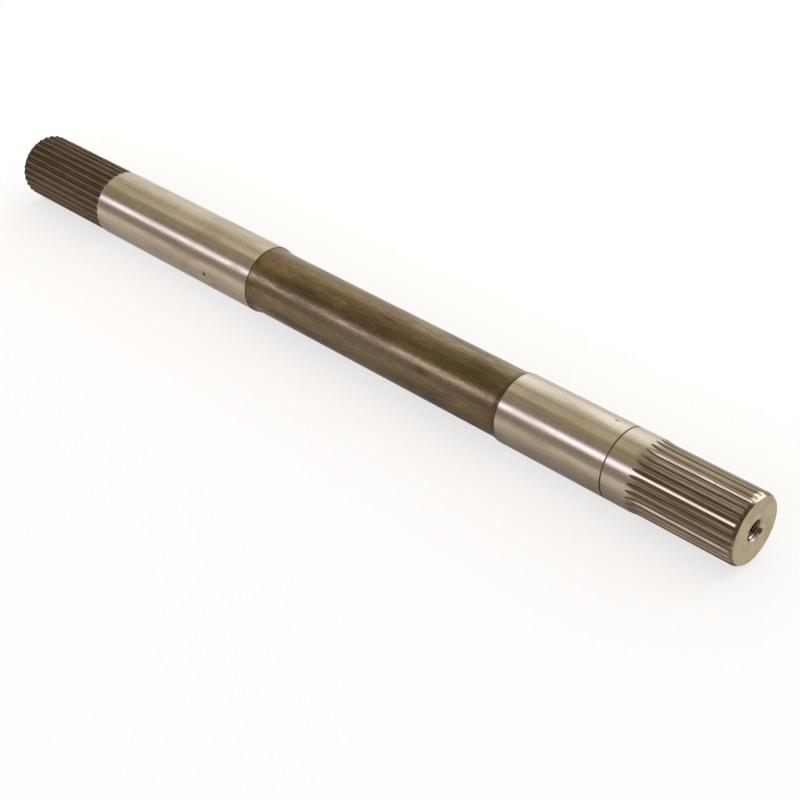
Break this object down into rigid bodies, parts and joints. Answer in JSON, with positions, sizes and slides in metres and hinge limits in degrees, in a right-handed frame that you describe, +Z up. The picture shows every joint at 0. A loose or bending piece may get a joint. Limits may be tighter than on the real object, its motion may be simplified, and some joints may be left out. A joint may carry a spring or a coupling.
{
  "type": "transmission input shaft",
  "caption": "Long round steel input shaft, splined at both ends, with ground bearing journals, a slimmer dark centre, a narrow ring groove and a tapped centre hole.",
  "frame": {"origin": "On the shaft's axis, in the middle of the near bearing journal, the one beside the ring groove and the tapped end", "axes": "+X along the axis, out of the tapped end; the shaft lies level, as it runs in its gearbox, and +Z is up"},
  "size_m": [0.522, 0.0384, 0.0384],
  "materials": {
    "ground_steel": "ground, with fine lines round the shaft and light stains",
    "dark_steel": "heat-treated, brown oxide, satin",
    "spline_steel": "hobbed, satin, brown in the gaps between the teeth"
  },
  "bodies": {
    "root": {"input_shaft": "ground_steel"}
  },
  "joints": []
}
